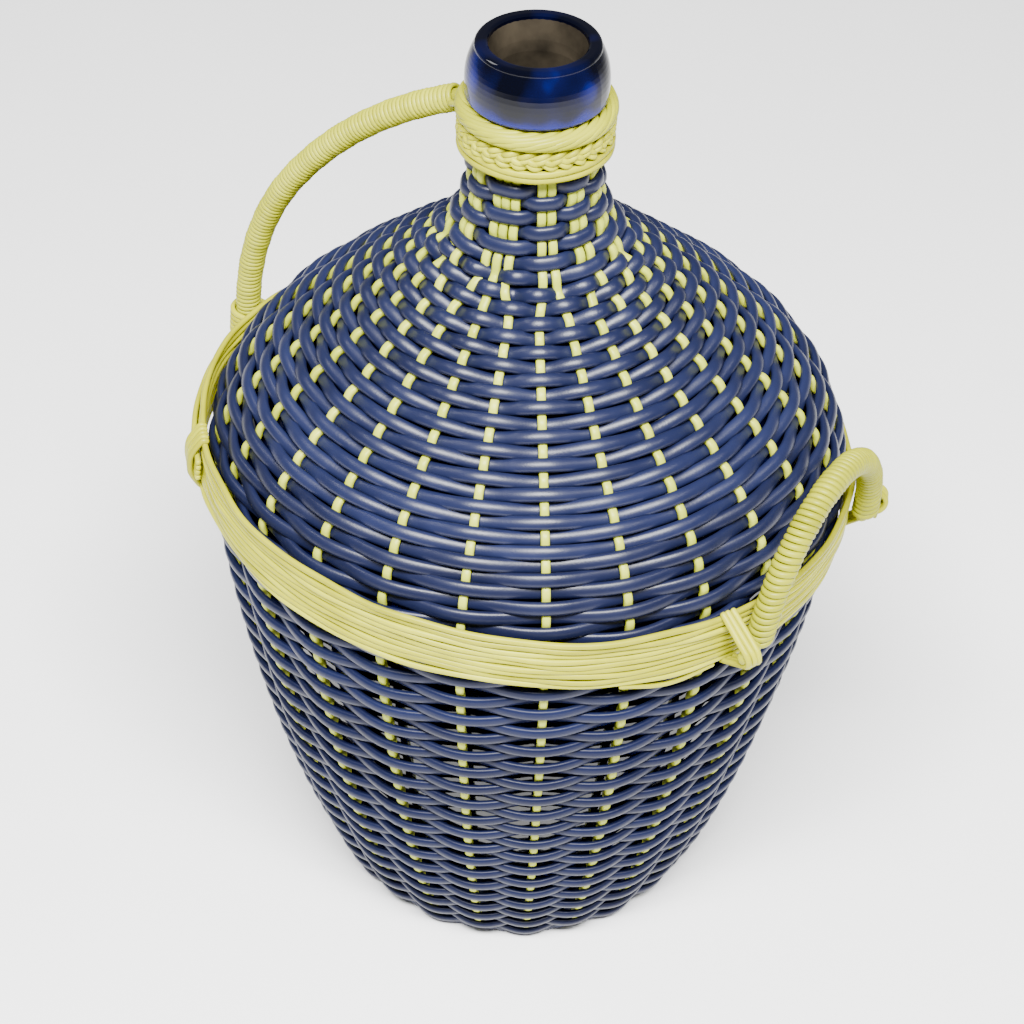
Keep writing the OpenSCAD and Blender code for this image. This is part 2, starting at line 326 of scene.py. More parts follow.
# how fast that line fades up and down, per metre
LIP_FOOT_FADE = 130.0
GLOW_PATCH_SCALE, BORE_TONE_SCALE, WAVE_SCALE = 34.0, 60.0, 45.0


def cobalt_glass(name):
    """Deep cobalt glass: nearly black, with painted light in bluer patches and in a bluer line at the
    lip's foot, dull brown in the bore.
    """
    material, tree, shader = new_material(name)
    place = object_coordinates(tree)
    split = tree.nodes.new("ShaderNodeSeparateXYZ")
    tree.links.new(place, split.inputs["Vector"])
    x, y, z = (split.outputs[k] for k in "XYZ")
    squares = [maths(tree, "MULTIPLY", k, k) for k in (x, y)]
    radius = maths(tree, "SQRT", maths(tree, "ADD", *squares))
    in_bore = maths(tree, "LESS_THAN", radius, BORE_EDGE)
    # painted light: bluer patches of noise stand in for light shining through the glass
    patches = noise(tree, GLOW_PATCH_SCALE, 2.0, place)
    # painted light: a bluer line round the lip's foot
    from_foot = maths(tree, "ABSOLUTE", maths(tree, "SUBTRACT", z, LIP_FOOT))
    foot = maths(tree, "SUBTRACT", 1.0, maths(tree, "MULTIPLY", from_foot, LIP_FOOT_FADE))
    foot = maths(tree, "MAXIMUM", foot, 0.0)
    painted_glow = maths(tree, "ADD", patches, maths(tree, "MULTIPLY", foot, 0.3))
    blues = [
        (0.46, (0.0004, 0.0007, 0.004)),
        (0.60, (0.0012, 0.002, 0.025)),
        (0.76, (0.004, 0.008, 0.19)),
    ]
    colour = ramp(tree, painted_glow, blues)
    # the bore's colour: a dull dark brown, its tone varied a little by noise
    browns = [(0.3, (0.008, 0.0065, 0.0045)), (0.7, (0.030, 0.024, 0.016))]
    bore_tone = ramp(tree, noise(tree, BORE_TONE_SCALE, 4.0, place), browns)
    mix = tree.nodes.new("ShaderNodeMixRGB")
    tree.links.new(in_bore, mix.inputs["Fac"])
    tree.links.new(colour, mix.inputs["Color1"])
    tree.links.new(bore_tone, mix.inputs["Color2"])
    tree.links.new(mix.outputs["Color"], shader.inputs["Base Color"])
    clear = maths(tree, "MULTIPLY", maths(tree, "SUBTRACT", 1.0, in_bore), 0.35)
    tree.links.new(clear, shader.inputs["Transmission Weight"])
    shader.inputs["IOR"].default_value = 1.52
    shader.inputs["Specular IOR Level"].default_value = 0.1
    rough = maths(tree, "ADD", maths(tree, "MULTIPLY", in_bore, 0.3), 0.035)
    tree.links.new(rough, shader.inputs["Roughness"])
    add_bump(tree, shader, noise(tree, WAVE_SCALE, 1.0, place), 0.0015, 0.4)
    return material


BLUE = plastic_cane(
    "blue_cane",
    dark=(0.0036, 0.0050, 0.019),
    plain=(0.0056, 0.0079, 0.029),
    light=(0.0095, 0.0132, 0.045),
    rough=0.36,
    gloss=0.32,
)
# painted shade: a slightly darker copy of the blue cane, also less glossy, for the lower side of the
# cover
SHADED_DULL_BLUE = plastic_cane(
    "shaded_dull_blue_cane",
    dark=(0.0034, 0.0048, 0.020),
    plain=(0.0050, 0.0073, 0.029),
    light=(0.0085, 0.0122, 0.043),
    rough=0.36,
    gloss=0.15,
)
BASE_BLUE = plastic_cane(
    "foot_cane",
    dark=(0.005, 0.007, 0.024),
    plain=(0.007, 0.010, 0.035),
    light=(0.012, 0.017, 0.054),
    rough=0.38,
    gloss=0.3,
)
STAKE = plastic_cane(
    "stake_cane",
    dark=(0.30, 0.34, 0.020),
    plain=(0.40, 0.44, 0.034),
    light=(0.52, 0.55, 0.070),
    rough=0.38,
    gloss=0.25,
)
STRAND = plastic_cane(
    "yellow_strand",
    dark=(0.235, 0.230, 0.0035),
    plain=(0.355, 0.350, 0.0065),
    light=(0.47, 0.47, 0.022),
    rough=0.38,
    gloss=0.22,
)
WOUND = plastic_cane(
    "wound_strand",
    dark=(0.20, 0.205, 0.005),
    plain=(0.30, 0.305, 0.009),
    light=(0.41, 0.415, 0.025),
    rough=0.38,
    gloss=0.22,
)
GLASS = cobalt_glass("cobalt_glass")


# ---- the winding strand of the cover ----
GROUP_SIZES = [2, 2, 2, 3, 2, 2, 2, 3, 2, 2, 3]
GROUP_TURN = 8.6
ROW_SAMPLES = 250


def stake_groups():
    """[(azimuth of a group in the neck from the first column, number of stakes in it)]."""
    groups, first = [], 0
    for size in GROUP_SIZES:
        groups.append(((first + (size - 1) / 2) * STEP, size))
        first += size
    return groups


GROUPS = stake_groups()
TURNS = LOWER_ROWS + UPPER_ROWS
GATHER_TURN = int(TURNS) - NECK_ROWS
START_TURN = -0.35
# unevenness of the rows along the cover: (size, rate per turn, start)
ROW_DRIFT = ((0.28, 9.1, 0), (0.22, 23.7, 1.3), (0.14, 41.3, 0))


def crossings():
    """Where the strand crosses stakes: knots of turned angle and the number of the crossing."""
    angles, numbers = [], []
    number = math.ceil(START_TURN * STAKES) - 1
    while number * STEP < GATHER_TURN * 360:
        angles.append(number * STEP)
        numbers.append(number)
        number += 1
    turn = GATHER_TURN
    while turn <= TURNS + 1:
        for centre, size in GROUPS:
            half = (size - 1) / 2 * GROUP_TURN
            angles += [turn * 360 + centre - half, turn * 360 + centre + half]
            numbers += [number, number]
            number += 1
        turn += 1
    return np.array(angles), np.array(numbers, float)


CROSS_AT, CROSS_NUMBER = crossings()


def weave(first, last):
    """Path and normals of the strand from turn first to turn last."""
    turn = np.linspace(first, last, int((last - first) * ROW_SAMPLES) + 1)
    phase = np.interp(turn * 360, CROSS_AT, CROSS_NUMBER)
    wave = np.cos(math.pi * phase)
    ripple = np.where(turn < GATHER_TURN, STAKE_RIPPLE, NECK_RIPPLE)
    depth = MID_DEPTH - (SWING - ripple) * wave
    row = np.clip(turn, 0, None)
    drift = sum(size * np.sin(turn * rate + start) for size, rate, start in ROW_DRIFT)
    azimuth = FIRST_STAKE + turn * 360
    return cover(run_of_row(row) + drift, depth, azimuth)


def weave_piece(name, first, last, node, material, fuller=1.0):
    """Some turns of the winding strand as one piece, in the place of a CAD node."""
    made = Bundle()
    path, normals = weave(first, last)
    made.tube(path, normals, CANE_W * fuller, CANE_T * fuller, sides=12, square=2.3)
    made.build(name, material, "carboy", [node], "blue_cane")


LOWER_GROUPS, LOWER_EACH = 6, 6
SHOULDER_GROUPS, SHOULDER_EACH = 5, 5
NECK_FROM = LOWER_ROWS + SHOULDER_GROUPS * SHOULDER_EACH - 0.5

# the lower side's rows are woven in the darker cane, as painted shade
for g in range(LOWER_GROUPS):
    start = START_TURN if g == 0 else g * LOWER_EACH - 0.5
    stop = (g + 1) * LOWER_EACH - 0.5
    weave_piece(f"woven_side_{g + 1}", start, stop, f"lower_rows_{g + 1}", SHADED_DULL_BLUE)
for g in range(SHOULDER_GROUPS):
    start = LOWER_ROWS + g * SHOULDER_EACH - 0.5
    stop = start + SHOULDER_EACH
    weave_piece(f"woven_shoulder_{g + 1}", start, stop, f"shoulder_rows_{g + 1}", BLUE, 1.05)
weave_piece("woven_neck", NECK_FROM, TURNS, "neck_rows", BLUE, 1.12)


# ---- stakes ----
STAKE_FROM, STAKE_STEP = 9, 1.3
GATHER_BEFORE, GATHER_LENGTH = 20, 18


def smooth(t):
    """Rises gently from 0 to 1 as t does."""
    t = np.clip(t, 0, 1)
    return t * t * (3 - 2 * t)


def build_stakes():
    """Stakes ripple a little, out where the strand passes behind them and in where it passes over."""
    made = Bundle()
    gather = float(run_of_row(np.array(GATHER_TURN)))
    s = np.arange(STAKE_FROM, RUN[-1] + 1, STAKE_STEP)
    rows = np.arange(0, TURNS, 0.5)
    row = np.interp(s, run_of_row(rows), rows)
    gathered = smooth((s - gather + GATHER_BEFORE) / GATHER_LENGTH)
    mark = GATHER_TURN + 2
    first = 0
    for centre, size in GROUPS:
        crossing = float(np.interp((mark + centre / 360) * 360, CROSS_AT, CROSS_NUMBER))
        high = np.cos(math.pi * (row - centre / 360 - mark + round(crossing)))
        for member in range(size):
            index = first + member
            own = index * STEP
            low = np.cos(math.pi * (row - own / 360 + index))
            depth = MID_DEPTH + STAKE_RIPPLE * low * (1 - gathered) + NECK_RIPPLE * high * gathered
            place = centre + (member - (size - 1) / 2) * GROUP_TURN
            azimuth = FIRST_STAKE + own + (place - own) * gathered
            path, normals = cover(s, depth, azimuth)
            made.tube(path, normals, STAKE_W - 0.3, STAKE_T, sides=10, square=3.2)
        first += size
    made.build("stakes", STAKE, "carboy", ["side_stakes"], "stake_cane")


build_stakes()


# ---- things on the band's leaning plane ----
def turn_z(a):
    c, s = math.cos(math.radians(a)), math.sin(math.radians(a))
    return np.array([[c, -s, 0], [s, c, 0], [0, 0, 1]])


def turn_y(a):
    c, s = math.cos(math.radians(a)), math.sin(math.radians(a))
    return np.array([[c, 0, s], [0, 1, 0], [-s, 0, c]])


LEAN = turn_z(LEAN_DIR) @ turn_y(BAND_TILT) @ turn_z(-LEAN_DIR)


def on_band(points):
    """Points given round a level band at the origin, leaned and raised to the band's place."""
    return np.asarray(points, float) @ LEAN.T + [0, 0, BAND_Z]


def ring_points(r, z, azimuth):
    """Points round the axis, at a distance r and a height z, azimuth in degrees."""
    a = np.radians(azimuth)
    r, z, a = np.broadcast_arrays(*np.atleast_1d(r, z, a))
    return np.stack([r * np.cos(a), r * np.sin(a), z], 1)


def full_turn(count):
    """Azimuths all the way round."""
    return np.arange(count) / count * 360


def outward(points):
    """Unit vectors away from the axis."""
    flat = np.array(points, float)
    flat[:, 2] = 0
    return unit(flat)


BAND_PITCH = STRAND_D + 0.02
BAND_HALF = BAND_STRANDS * BAND_PITCH / 2


def build_band():
    """Strands side by side round the waist, each a little uneven."""
    made = Bundle()
    count = 300
    azimuth = full_turn(count)
    together = wobble(count, 0.7, 9)
    for i in range(BAND_STRANDS):
        z = (i - (BAND_STRANDS - 1) / 2) * BAND_PITCH * 1.03 + together + wobble(count, 0.75, 15)
        r = BAND_R + wobble(count, 0.7, 13) - 0.5
        path = ring_points(r, z, azimuth)
        away = outward(path) @ LEAN.T
        made.tube(on_band(path), away, STRAND_D + 0.1, STRAND_D, closed=True, sides=10, square=2.1)
    made.build("band", STRAND, "carboy", ["waist_band"], "yellow_strand")


LOOSE_FROM, LOOSE_TO, LOOSE_STEPS = -43, -26, 26


def build_loose_end():
    """A short end of strand that bows out under the band."""
    made = Bundle()
    azimuth = np.linspace(LOOSE_FROM, LOOSE_TO, LOOSE_STEPS)
    t = np.linspace(0, 1, LOOSE_STEPS)
    z = -BAND_HALF - 1.6 - 3.2 * np.sin(t * math.pi) ** 1.5
    path = ring_points(BAND_R - 0.4, z, azimuth)
    made.tube(on_band(path), outward(path) @ LEAN.T, 2.6, 2.2)
    made.build("band_end", STRAND, "carboy", ["band_loose_end"], "yellow_strand")


build_band()
build_loose_end()


# ---- collar, with its heights and radius from the frame ----
COLLAR_LOW = node_box("collar_lower_strands")[0][2]
BRAID_LOW, BRAID_HIGH = (node_box("collar_braid")[k][2] for k in (0, 1))
WRAP_LOW, WRAP_HIGH = (node_box("collar_wrap")[k][2] for k in (0, 1))
COLLAR_R = node_box("collar_wrap")[1][0]
LOWER_STRANDS, LOWER_STRAND_R, LOWER_STRAND_PITCH = 2, 33.9, 3.2


def build_collar_strands():
    """Plain strands round the neck, under the plait."""
    made = Bundle()
    count = 160
    azimuth = full_turn(count)
    for i in range(LOWER_STRANDS):
        z = COLLAR_LOW + LOWER_STRAND_PITCH * (i + 0.5) + wobble(count, 0.35, 5)
        path = ring_points(LOWER_STRAND_R + wobble(count, 0.25, 6), z, azimuth)
        made.tube(path, outward(path), 3.4, 3.2, closed=True, sides=12, square=2.2)
    made.build("collar_strands", STRAND, "carboy", ["collar_lower_strands"], "yellow_strand")


PLAIT_PARTS, PLAIT_CYCLES = 3, 10
PLAIT_W, PLAIT_T = 2.7, 2.5
# the plait's middle under the collar's face, and how far its parts swing in and out
PLAIT_DEPTH, PLAIT_SWING = 3.2, 1.35
# each strand of a pair, above or below the pair's middle
TWIN_OFFSET = 1.15


def build_braid():
    """A three-part plait of doubled strands laid round the neck, on two plain rings."""
    made = Bundle()
    count = 480
    azimuth = full_turn(count)
    middle = (BRAID_LOW + BRAID_HIGH) / 2
    tall = (BRAID_HIGH - BRAID_LOW) / 2
    for part in range(PLAIT_PARTS):
        phase = np.radians(azimuth) * PLAIT_CYCLES + part * 2 * math.pi / PLAIT_PARTS
        for twin in (-1, 1):
            z = middle + (tall - 1.9) * np.sin(phase) * 1.05 + twin * TWIN_OFFSET
            r = COLLAR_R - PLAIT_DEPTH + PLAIT_SWING * np.sin(2 * phase) + wobble(count, 0.2, 9)
            path = ring_points(r, z, azimuth)
            made.tube(path, outward(path), PLAIT_W, PLAIT_T, closed=True, sides=10, square=2.2)
    ring = full_turn(160)
    for z in (middle - 1.7, middle + 1.7):
        path = ring_points(COLLAR_R - 6.2, z, ring)
        made.tube(path, outward(path), 3.6, 3.0, closed=True, sides=10, square=2.2)
    made.build("collar_plait", STRAND, "carboy", ["collar_braid"], "yellow_strand")


def build_wrap():
    """A rope of strands laid round under the lip, each creeping slowly round the section."""
    made = Bundle()
    strands, turns, count = 12, 2, 420
    azimuth = full_turn(count)
    half_r, half_z = 5.6, (WRAP_HIGH - WRAP_LOW) / 2 - 1.2
    centre_r, centre_z = COLLAR_R - 1.25 - half_r, (WRAP_LOW + WRAP_HIGH) / 2
    for i in range(strands):
        angle = np.radians(azimuth) * turns + i * 2 * math.pi / strands
        c, s = np.cos(angle), np.sin(angle)
        r = centre_r + np.sign(c) * np.abs(c) ** 0.75 * half_r
        z = centre_z + np.sign(s) * np.abs(s) ** 0.75 * half_z + wobble(count, 0.12, 7)
        path = ring_points(r, z, azimuth)
        away = ring_points(c, 0 * c, azimuth) + np.outer(s, [0, 0, 1])
        made.tube(path, away, 3.1, 2.4, closed=True, sides=10, square=2.3)
    made.build("collar_winding", WOUND, "carboy", ["collar_wrap"], "yellow_strand")


build_collar_strands()
build_braid()
build_wrap()


# ---- handles ----
WINDING_STEPS = 20


def winding(made, centre, across, up, pitch, radius, width, thick, slant=0.0):
    """Winds one strand round a centreline given with two unit vectors across it."""
    gaps = np.linalg.norm(np.diff(centre, axis=0), axis=1)
    run = np.r_[0, np.cumsum(gaps)]
    turns = run[-1] / pitch
    t = np.linspace(0, 1, int(turns * WINDING_STEPS))
    angle = t * turns * 2 * math.pi
    at = t * run[-1] + slant * np.sin(angle)
    at = np.clip(at, 0, run[-1])

    def along(values):
        return np.stack([np.interp(at, run, values[:, k]) for k in range(3)], 1)

    away = along(across) * np.cos(angle)[:, None] + along(up) * np.sin(angle)[:, None]
    wave = 0.1 * np.sin(angle * 0.137) + 0.07 * np.sin(angle * 0.31 + 1)
    path = along(centre) + away * (radius - thick / 2 + wave)[:, None]
    made.tube(path, away, width, thick, sides=8, square=2.2)


# the carrying handle is two arcs that meet in one direction, then a straight drop past the band
CARRY_R1, CARRY_R2 = 250.0, 165.0
CARRY_MEET = np.array([0.8, 0.6])
CARRY_FROM = 25.1
CARRY_MID = math.degrees(math.atan2(*CARRY_MEET))
CARRY_END = np.array([BAND_R + STRAND_D / 2 + GRIP_R + 0.4, BAND_Z + 8])
CARRY_DROP = BAND_HALF + 2
CARRY_STEPS, DROP_STEPS = 160, 14


def carry_line():
    """Centreline of the carrying handle as (distance from the axis, height)."""
    centre2 = CARRY_END - [CARRY_R2, 0]
    centre1 = centre2 - (CARRY_R1 - CARRY_R2) * CARRY_MEET
    a = np.radians(np.linspace(CARRY_FROM, CARRY_MID, CARRY_STEPS))
    b = np.radians(np.linspace(CARRY_MID, 90, CARRY_STEPS))[1:]
    arc1 = centre1 + CARRY_R1 * np.stack([np.sin(a), np.cos(a)], 1)
    arc2 = centre2 + CARRY_R2 * np.stack([np.sin(b), np.cos(b)], 1)
    drop = CARRY_END - np.outer(np.linspace(0, CARRY_DROP, DROP_STEPS)[1:], [0, 1])
    return np.concatenate([arc1, arc2, drop])


TUCKED, TUCK_SPREAD = 3, 11.0


def tuck_into_collar(made, end, up):
    """Strands that leave the handle's end and spread into the winding round the collar."""
    middle = (WRAP_LOW + WRAP_HIGH) / 2
    for k in range(-TUCKED, TUCKED + 1):
        turn = 180 - k * TUCK_SPREAD
        high = 1.0 - abs(k) / TUCKED
        start = end + up * (2.5 * high + 1.2) + [-1.5, k * 1.7, 0]
        stop = ring_points(COLLAR_R - 3.2, middle - 0.5 + 1.5 * high, turn)[0]
        over = (start + stop) / 2 + [-0.6, k * 0.9, 1.6]
        t = np.linspace(0, 1, 14)[:, None]
        path = start * (1 - t) ** 2 + over * 2 * t * (1 - t) + stop * t**2
        made.tube(path, up, 3.0, 2.6, sides=10, square=2.1)


def build_carry_handle():
    """Strand wound round the carrying handle's core, with its upper end tucked into the collar."""
    made = Bundle()
    line = carry_line()
    centre = np.stack([-line[:, 0], 0 * line[:, 0], line[:, 1]], 1)
    tangent = unit(np.gradient(centre, axis=0))
    across = np.tile([0.0, 1.0, 0.0], (len(centre), 1))
    up = np.cross(tangent, across)
    winding(made, centre, across, up, 2.55, GRIP_R, 2.6, 2.2)
    tuck_into_collar(made, centre[0], up[0])
    made.build("carry_handle_winding", WOUND, "carboy", ["carry_handle_binding"], "yellow_strand")


build_carry_handle()

ROD_R = 3.0
SIDE_RING_R, SIDE_FOOT, SIDE_GAP = 57.0, 20.0, 0.9
FOOT_INSET = 3.6
SIDE_X = math.sqrt((BAND_R + STRAND_D / 2 + GRIP_R + SIDE_GAP) ** 2 - SIDE_RING_R**2)


def build_side_handle():
    """Strand wound round the side handle's half ring, and its two straight feet."""
    made = Bundle()
    a = np.radians(np.linspace(0, 180, 240))
    centre = np.stack([0 * a + SIDE_X, SIDE_RING_R * np.cos(a), SIDE_RING_R * np.sin(a)], 1)
    across = np.tile([1.0, 0.0, 0.0], (len(a), 1))
    up = unit(centre - [SIDE_X, 0, 0])
    winding(made, on_band(centre), across @ LEAN.T, up @ LEAN.T, 3.1, GRIP_R, 3.15, 2.3, 1.6)
    thick = 2 * ROD_R + 0.5
    inner = SIDE_RING_R - FOOT_INSET
    for side in (-1, 1):
        reach = np.linspace(inner, inner + SIDE_FOOT, 8) * side
        rod = np.stack([0 * reach + SIDE_X, reach, 0 * reach], 1)
        made.tube(on_band(rod), LEAN @ [1, 0, 0], thick, thick, sides=14, square=2.0)
    made.build("side_handle_winding", WOUND, "side_handle", ["side_handle_binding"], "yellow_strand")


build_side_handle()


# ---- lashings ----
def staple_line(half, depth, bend, steps):
    """A strand's run over a face: in, round a bend, across, round a bend, back; as (depth, height)."""
    a = np.radians(np.linspace(0, 90, steps))
    reach = depth - bend
    corner = np.stack([reach + bend * np.sin(a), half - bend + bend * np.cos(a)], 1)
    leg = np.stack([np.linspace(0, reach, 6)[:-1], np.full(5, half)], 1)
    upper = np.concatenate([leg, corner])
    middle = np.stack([np.full(7, depth), np.linspace(half - bend, bend - half, 9)[1:-1]], 1)
    return np.concatenate([upper, middle, upper[::-1] * [1, -1]])


BEND_STEPS = 14


def hugging_line(edge, depth, radius):
    """A strand pulled from the band's edge round a rod and back; as (depth, height)."""
    reach = math.hypot(depth, edge)
    turn = math.degrees(math.atan2(edge, -depth) - math.acos(radius / reach))
    a = np.radians(np.linspace(turn, -turn, BEND_STEPS))
    bend = np.stack([depth + radius * np.cos(a), radius * np.sin(a)], 1)
    leg = np.array([0, edge]) + np.outer(np.linspace(0, 1, 9)[:-1], bend[0] - [0, edge])
    return np.concatenate([leg, bend, leg[::-1] * [1, -1]])


def hugging_flat(edge, half, depth):
    """A strand pulled from the band's edge over a flat bundle and back; as (depth, height)."""
    corners = np.array([[-1, edge - 1], [1, edge], [depth, half], [depth + 0.4, 0]])
    corners = np.concatenate([corners, corners[-2::-1] * [1, -1]])
    t = np.arange(len(corners))
    fine = np.linspace(0, len(corners) - 1, 43)
    line = np.stack([np.interp(fine, t, corners[:, k]) for k in (0, 1)], 1)
    soft = line.copy()
    for _ in range(6):
        soft[1:-1] = (soft[:-2] + soft[1:-1] * 2 + soft[2:]) / 4
    return soft


def lash(made, count, line, place, slant):
    """Strands side by side along a line; place puts (depth, sideways, height) rows in the frame."""
    half = np.abs(line[:, 1]).max()
    for i in range(count):
        step = (i - (count - 1) / 2) * (STRAND_D + 0.02)
        sideways = step + slant * line[:, 1] / half
        sideways = sideways + wobble(len(line), 0.25, 1, closed=False)
        rows = np.stack([line[:, 0], sideways, line[:, 1]], 1)
        middle = np.array([line[:, 0].max() * 0.4, 0, 0])
        path, inner = place(rows), place(np.array([middle, rows.mean(0)]))[0]
        made.tube(path, path - inner, STRAND_D, STRAND_D * 0.92, sides=10, square=2.1)


LASH_BACK = BAND_R - 0.6
TAIL_FROM, TAIL_TO = 187, 226
TAIL_STRANDS, TAIL_STEPS = 4, 60


def at_band(azimuth, reach):
    """Places lashing rows on the band at an azimuth, reach from the axis."""
    spin = turn_z(azimuth)
    return lambda rows: on_band((rows + [reach, 0, 0]) @ spin.T)


FOOT_LOOPS = 5


def build_foot_lashing():
    """Loops round the carrying handle's foot, where it stands against the band."""
    made = Bundle()
    hoop = GRIP_R + STRAND_D / 2 + 0.8
    back = BAND_R + STRAND_D / 2 + 0.4
    for i in range(FOOT_LOOPS):
        line = staple_line(hoop, CARRY_END[0] - back + hoop, hoop, 16)
        high = (i - (FOOT_LOOPS - 1) / 2) * (STRAND_D + 0.05)
        rows = np.stack([-back - line[:, 0], line[:, 1], 0 * line[:, 0] + high], 1)
        rows[:, 2] += wobble(len(rows), 0.3, 1, closed=False)
        path = on_band(rows)
        centre = on_band([[-CARRY_END[0], 0, 0]])[0]
        made.tube(path, (path - centre) * [1, 1, 0], STRAND_D, STRAND_D * 0.9, sides=10, square=2.1)
    made.build("carry_foot_lashing", STRAND, "carboy", ["carry_handle_foot_lashing"], "yellow_strand")


def build_tail():
    """The handle's strands run on along the band, and are tied to it near their ends."""
    made = Bundle()
    azimuth = np.linspace(TAIL_FROM, TAIL_TO, TAIL_STEPS)
    for i in range(TAIL_STRANDS):
        z = (i - (TAIL_STRANDS - 1) / 2) * (STRAND_D + 0.02)
        z = z + wobble(TAIL_STEPS, 0.5, 2, closed=False)
        r = BAND_R + STRAND_D + 0.1 + wobble(TAIL_STEPS, 0.2, 2, closed=False)
        path = ring_points(r, z, azimuth)
        made.tube(on_band(path), outward(path) @ LEAN.T, STRAND_D, STRAND_D * 0.92, sides=10)
    made.build("carry_tail", STRAND, "carboy", ["carry_handle_tail_bundle"], "yellow_strand")
    tied = Bundle()
    over_tail = hugging_flat(BAND_HALF + STRAND_D / 2, STRAND_D * 2, STRAND_D * 2 + 0.5)
    lash(tied, 5, over_tail, at_band(TAIL_TO - 4, LASH_BACK), 1.2)
    tied.build("carry_tail_lashing", STRAND, "carboy", ["carry_handle_tail_lashing"], "yellow_strand")


FOOT_TURN = math.degrees(math.atan2(SIDE_RING_R + GRIP_R + 6.5, SIDE_X))
ROD_DEPTH = SIDE_X / math.cos(math.radians(FOOT_TURN)) - LASH_BACK


def build_side_lashings():
    """Strands pulled from the band round each of the side handle's feet."""
    for side, end in ((-1, "front"), (1, "back")):
        made = Bundle()
        place = at_band(side * FOOT_TURN, LASH_BACK)
        line = hugging_line(BAND_HALF + STRAND_D / 2, ROD_DEPTH, ROD_R + 0.5 + STRAND_D / 2)
        lash(made, 3, line, place, 2.6 * side)
        name = f"side_handle_{end}_lashing"
        made.build(f"side_{end}_lashing", STRAND, "carboy", [name], "yellow_strand")


build_foot_lashing()
build_tail()
build_side_lashings()


# ---- foot and base ----
FOOT_STRANDS, FOOT_TWISTS = 4, 24
# the rope's middle inside the foot's edge, and how far its strands stray sideways and upwards
FOOT_DEPTH, FOOT_REACH, FOOT_RISE = 6.8, 4.6, 1.55


def build_foot():
    """A rope of four flat strands laid round the foot."""
    made = Bundle()
    high = node_box("foot_ring")[1]
    outer = high[0] - 0.3
    count = 500
    azimuth = full_turn(count)
    for i in range(FOOT_STRANDS):
        angle = np.radians(azimuth) * FOOT_TWISTS + i * 2 * math.pi / FOOT_STRANDS
        r = outer - FOOT_DEPTH + FOOT_REACH * np.cos(angle)
        z = high[2] / 2 + FOOT_RISE * np.sin(angle)
        path = ring_points(r, z, azimuth)
        away = ring_points(np.cos(angle), 0 * angle, azimuth) + np.outer(np.sin(angle), [0, 0, 1])
        made.tube(path, away, 6.0, 3.4, closed=True, sides=10, square=2.2)
    made.build("foot_rope", BASE_BLUE, "carboy", ["foot_ring"], "blue_cane")


BASE_STICKS = 12
BASE_INNER = 18.0
BASE_STEPS = 288
BASE_CANE_T, BASE_MIDDLE, BASE_SWING = 2.9, 4.4, 1.9
STICK_T, STICK_Z = 2.0, 4.6
CROSS_T, CROSS_LOW, CROSS_HIGH = 2.6, 3.6, 6.4


def base_height(azimuth, number):
    """Height of a base row that passes over and under the sticks in turn."""
    return BASE_MIDDLE + BASE_SWING * np.cos(np.radians(azimuth) * BASE_STICKS / 2 + math.pi * number)


def build_base():
    """Rings of cane over and under the base sticks, and the crossed canes in the middle."""
    rows, sticks, cross = Bundle(), Bundle(), Bundle()
    outer = node_box("base_sticks")[1][0]
    pitch = CANE_W + 0.4
    count = int((outer - 4 - BASE_INNER) / pitch)
    azimuth = full_turn(BASE_STEPS)
    for i in range(count):
        r = BASE_INNER + (i + 0.5) * pitch + wobble(BASE_STEPS, 0.3, 5)
        path = ring_points(r, base_height(azimuth, i), azimuth)
        rows.tube(path, [0, 0, -1], CANE_W, BASE_CANE_T, closed=True, sides=10, square=2.3)
    for k in range(BASE_STICKS):
        r = np.linspace(BASE_INNER - 1, outer, 24)
        path = ring_points(r, STICK_Z, k * 360 / BASE_STICKS)
        sticks.tube(path, [0, 0, -1], STAKE_W, STICK_T, sides=8, square=3)
    reach = BASE_INNER - 2
    for i in (-1, 0, 1):
        x = np.linspace(-reach * 0.9, reach * 0.9, 9)
        flat = 0 * x + i * (STAKE_W + 0.3)
        above = np.stack([x, flat, 0 * x + CROSS_HIGH], 1)
        below = np.stack([flat, x, 0 * x + CROSS_LOW], 1)
        cross.tube(above, [0, 0, 1], STAKE_W, CROSS_T, sides=10, square=3)
        cross.tube(below, [0, 0, 1], STAKE_W, CROSS_T, sides=10, square=3)
    rows.build("base_weave", BASE_BLUE, "carboy", ["base_weavers"], "blue_cane")
    sticks.build("base_spokes", STAKE, "carboy", ["base_sticks"], "stake_cane")
    cross.build("base_cross", STAKE, "carboy", ["base_centre"], "stake_cane")


build_foot()
build_base()

# ---- CAD nodes that are shown as they are ----
for name, material in (
    ("glass_bottle", GLASS),
    ("carry_handle_core", WOUND),
    ("side_handle_core", WOUND),
):
    mesh = nodes[name].data
    mesh.materials.clear()
    mesh.materials.append(material)


# ---- stage, light and camera ----
FLOOR_HALF = 6.0
WORLD_LIGHT = 0.25
LIGHT_TARGET = (0, 0, 0.25)
# name, place, size in metres, watts
LIGHTS = (
    ("key", (0.50, -0.87, 2.0), (1.5, 0.45), 235),
    ("left", (-1.3, -0.5, 1.7), (0.8, 0.3), 10),
    ("right", (1.4, 0.4, 1.7), (0.8, 0.3), 10),
)


def build_floor():
    mesh = bpy.data.meshes.new("floor")
    side = FLOOR_HALF
    corners = [(-side, -side, 0), (side, -side, 0), (side, side, 0), (-side, side, 0)]
    mesh.from_pydata(corners, [], [(0, 1, 2, 3)])
    material, tree, shader = new_material("pale_floor")
    tone = noise(tree, 3.0, 2.0, object_coordinates(tree))
    colour = ramp(tree, tone, [(0.3, (0.90, 0.90, 0.90)), (0.7, (0.93, 0.93, 0.93))])
    tree.links.new(colour, shader.inputs["Base Color"])
    shader.inputs["Roughness"].default_value = 0.9
    shader.inputs["Specular IOR Level"].default_value = 0.1
    mesh.materials.append(material)
    floor = bpy.data.objects.new("floor", mesh)
    bpy.context.scene.collection.objects.link(floor)


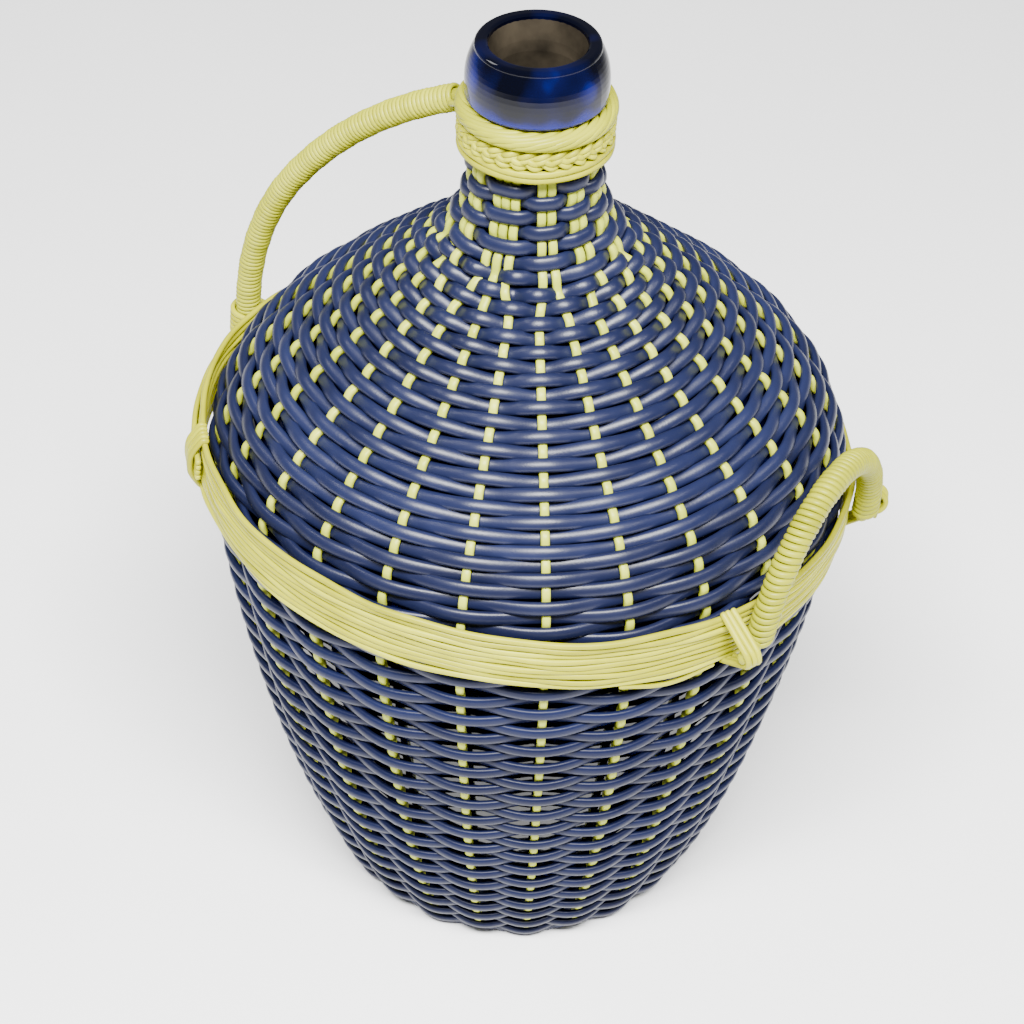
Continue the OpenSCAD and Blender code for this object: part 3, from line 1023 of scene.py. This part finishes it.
def area_light(name, place, aim, size, power):
    data = bpy.data.lights.new(name, "AREA")
    data.shape = "RECTANGLE"
    data.size, data.size_y = size
    data.energy = power
    lamp = bpy.data.objects.new(name, data)
    bpy.context.scene.collection.objects.link(lamp)
    lamp.location = place
    back = np.array(place) - np.array(aim)
    lamp.rotation_mode = "QUATERNION"
    lamp.rotation_quaternion = Vector(back).to_track_quat("Z", "Y")


def build_light():
    world = bpy.data.worlds.new("studio")
    world.use_nodes = True
    background = world.node_tree.nodes["Background"]
    background.inputs["Color"].default_value = (1, 1, 1, 1)
    background.inputs["Strength"].default_value = WORLD_LIGHT
    bpy.context.scene.world = world
    for name, place, size, power in LIGHTS:
        area_light(name, place, LIGHT_TARGET, size, power)


CAMERA_AZIMUTH = -60.0
CAMERA_DISTANCE, CAMERA_HEIGHT = 0.9078, 1.0140
CAMERA_PITCH, CAMERA_YAW, CAMERA_ROLL = 0.722, 0.007, 0.025
SENSOR_WIDTH, LENS = 36.0, 84.375


def build_camera():
    """A camera that looks down on the object; angles of the view are in radians."""
    data = bpy.data.cameras.new("camera")
    data.sensor_width = SENSOR_WIDTH
    data.lens = LENS
    data.clip_start, data.clip_end = 0.01, 50
    camera = bpy.data.objects.new("camera", data)
    bpy.context.scene.collection.objects.link(camera)
    a = math.radians(CAMERA_AZIMUTH)
    # in the view's own axes: x to the right, y away from the camera, z up
    yaw, pitch, roll = CAMERA_YAW, CAMERA_PITCH, CAMERA_ROLL
    right = Vector((math.cos(yaw), math.sin(yaw), 0))
    ahead = Vector((-math.sin(yaw), math.cos(yaw), 0))
    forward = ahead * math.cos(pitch) + Vector((0, 0, -math.sin(pitch)))
    up = ahead * math.sin(pitch) + Vector((0, 0, math.cos(pitch)))
    c, s = math.cos(roll), math.sin(roll)
    right, up = right * c + up * s, up * c - right * s
    turn = Matrix.Rotation(a + math.pi / 2, 3, "Z")
    axes = Matrix((turn @ right, turn @ up, turn @ -forward)).transposed()
    camera.location = turn @ Vector((0, -CAMERA_DISTANCE, CAMERA_HEIGHT))
    camera.rotation_mode = "QUATERNION"
    camera.rotation_quaternion = axes.to_quaternion()
    bpy.context.scene.camera = camera


build_floor()
build_light()
build_camera()
